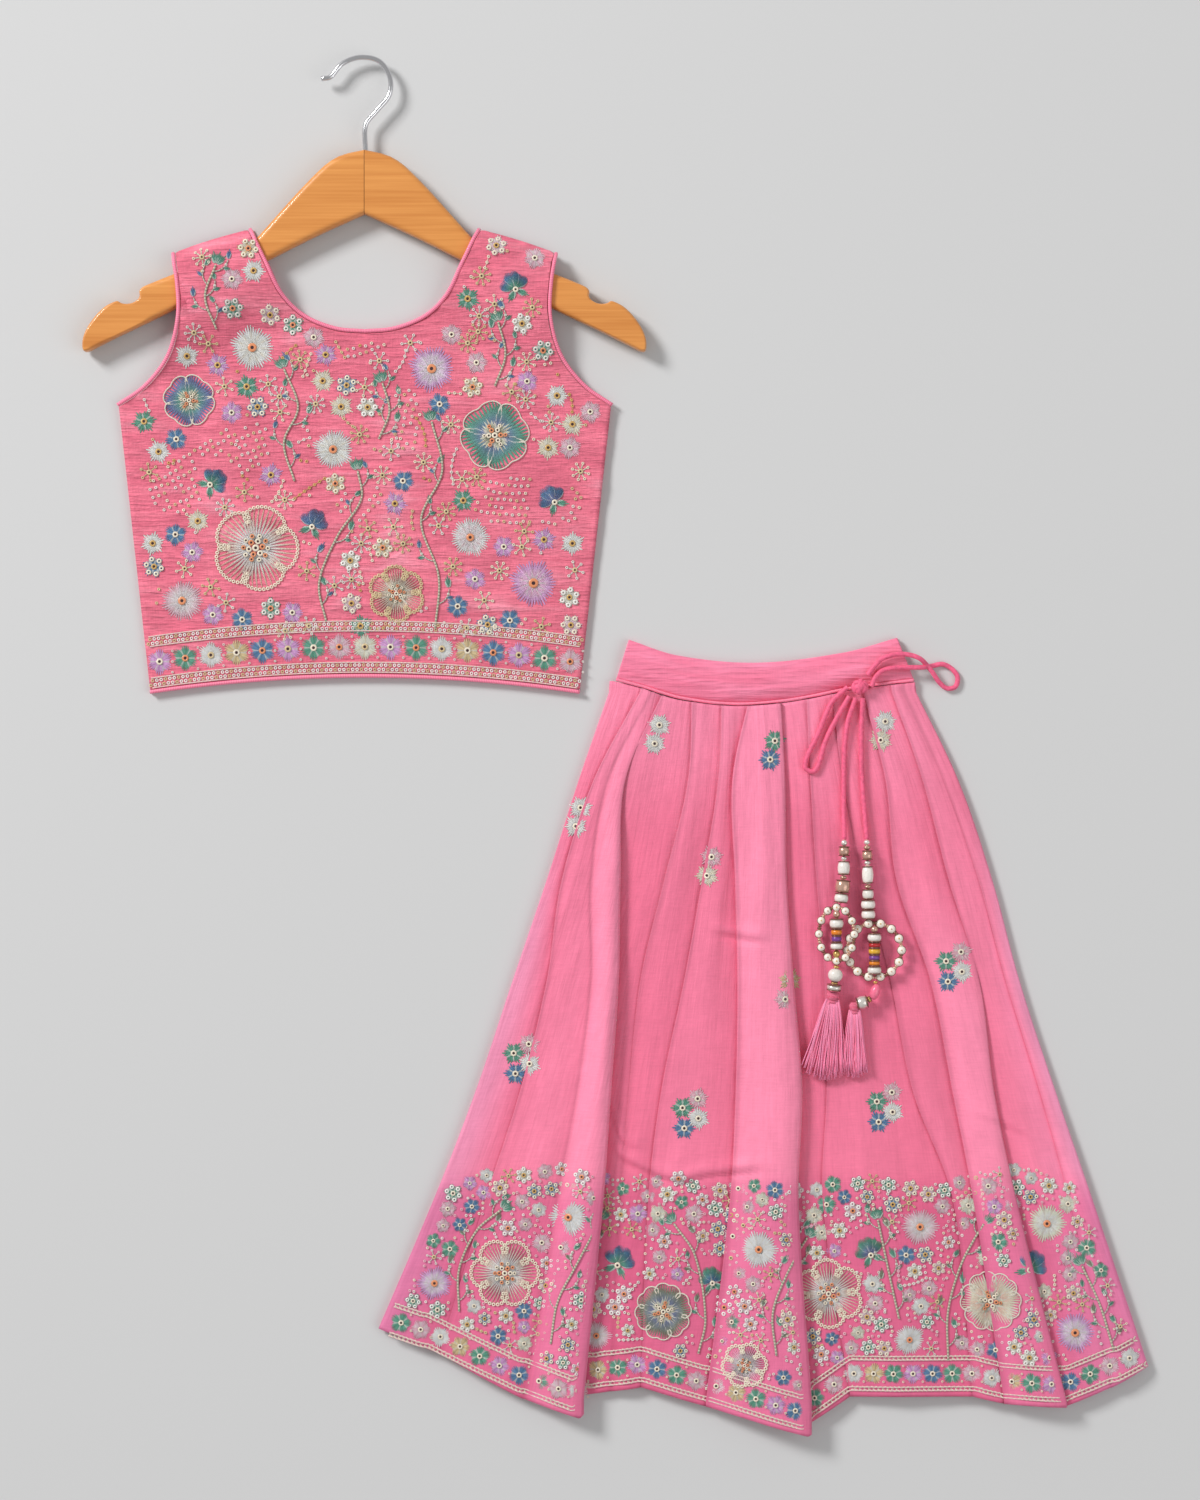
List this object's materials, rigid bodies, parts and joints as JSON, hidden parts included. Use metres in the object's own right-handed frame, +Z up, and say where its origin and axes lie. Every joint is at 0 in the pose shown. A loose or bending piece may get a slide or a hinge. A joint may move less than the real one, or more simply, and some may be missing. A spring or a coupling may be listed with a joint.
{
  "type": "lehenga choli with hanger",
  "caption": "Child's sleeveless embroidered top on a wooden hanger and a pleated drawstring skirt with beaded pendants, laid flat.",
  "frame": {"origin": "middle of the set's outline on the surface that it lies on", "axes": "+X to the wearer's left as laid out, +Y towards the hanger's hook, +Z up from the surface"},
  "size_m": [0.6057, 0.7845, 0.018],
  "materials": {
    "light_wood": "satin varnish, light honey",
    "chrome_wire": "polished",
    "crinkled_gauze": "crinkled gauze with thread embroidery and sequins",
    "choli_piping": "satin covered cord",
    "skirt_cloth": "fine slub cloth over a lining, embroidered border",
    "waistband_piping": "satin covered cord",
    "drawstring_cloth": "cloth cord",
    "silver_beads": "silver, pearl and coloured beads",
    "tassel_thread": "silky thread"
  },
  "bodies": {
    "root": {"hanger_half_left": "light_wood", "hanger_half_right": "light_wood", "hanger_hook": "chrome_wire", "choli_front": "crinkled_gauze", "choli_back": "crinkled_gauze", "choli_neck_piping_front": "choli_piping", "choli_neck_piping_back": "choli_piping", "choli_arm_piping_left": "choli_piping", "choli_arm_piping_right": "choli_piping", "choli_hem_piping_front": "choli_piping", "choli_hem_piping_back": "choli_piping", "skirt_front": "skirt_cloth", "skirt_back": "skirt_cloth", "waistband_front": "skirt_cloth", "waistband_back": "skirt_cloth", "waistband_piping": "waistband_piping", "drawstring_knot": "drawstring_cloth", "drawstring_loop_right": "drawstring_cloth", "drawstring_loop_left": "drawstring_cloth", "drawstring_end_left": "drawstring_cloth", "drawstring_end_right": "drawstring_cloth", "latkan_left_beads": "silver_beads", "latkan_left_ring": "silver_beads", "latkan_left_drop": "silver_beads", "latkan_right_beads": "silver_beads", "latkan_right_ring": "silver_beads", "latkan_right_drop": "silver_beads", "latkan_left_tassel": "tassel_thread", "latkan_right_tassel": "tassel_thread"}
  },
  "joints": []
}
